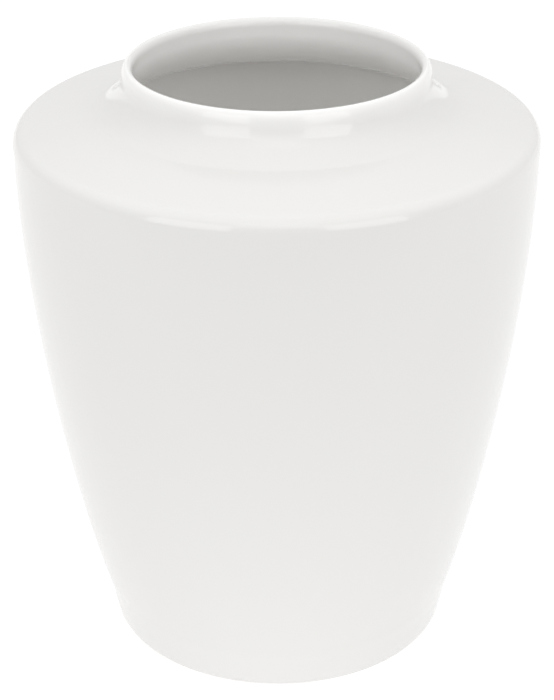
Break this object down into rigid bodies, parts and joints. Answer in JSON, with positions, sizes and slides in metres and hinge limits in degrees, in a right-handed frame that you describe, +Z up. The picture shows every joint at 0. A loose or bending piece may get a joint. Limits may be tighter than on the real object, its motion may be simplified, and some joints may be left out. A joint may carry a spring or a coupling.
{
  "type": "porcelain vase",
  "caption": "Free-standing white glazed porcelain vase: rounded foot ring, tapering belly, broad gently sloping shoulder and a short wide neck with a rounded lip.",
  "frame": {"origin": "centre of the foot ring, on the surface that the vase stands on", "axes": "+Z up along the vase's axis of revolution; the vase is round, so +X and +Y are any two horizontal directions"},
  "size_m": [0.202, 0.202, 0.24],
  "materials": {
    "bare_porcelain": "matte",
    "outer_glaze": "gloss",
    "inner_glaze": "gloss",
    "base_glaze": "gloss"
  },
  "bodies": {
    "root": {"porcelain_body": "bare_porcelain", "outer_glaze": "outer_glaze", "inner_glaze": "inner_glaze", "base_glaze": "base_glaze"}
  },
  "joints": []
}
